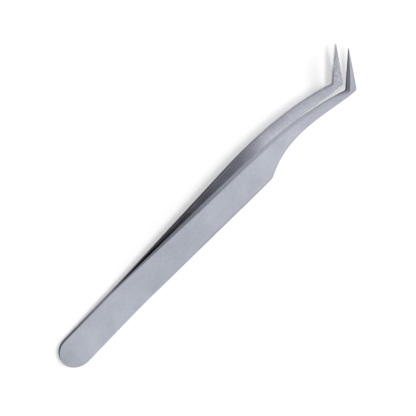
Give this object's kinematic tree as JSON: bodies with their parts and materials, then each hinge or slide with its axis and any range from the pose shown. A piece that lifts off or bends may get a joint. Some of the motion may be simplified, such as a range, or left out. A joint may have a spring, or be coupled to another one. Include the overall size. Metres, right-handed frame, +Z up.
{
  "type": "angled needle nose tweezers",
  "caption": "Sprung steel tweezers: two mirror-image arms joined at a round tail, with fine needle points turned sideways, for holding very small parts.",
  "frame": {"origin": "middle of the outline seen from above, at the height of the surface that the tweezers lie on", "axes": "+X from the joined tail to the points, +Y towards the side that the points turn to, +Z up from the surface"},
  "size_m": [0.1204, 0.0122, 0.0107],
  "materials": {
    "stainless_steel": "satin ground stainless steel, bare"
  },
  "bodies": {
    "lower": {"lower_arm": "stainless_steel"},
    "upper": {"upper_arm": "stainless_steel"}
  },
  "joints": [
    {"name": "squeeze", "type": "hinge", "parent": "lower", "child": "upper", "pos_m": [-0.03074, -0.00104, 0.00195], "axis": [0, 1, 0], "range_deg": [0, 4.41], "stiffness_Nm_per_rad": 1.2}
  ]
}
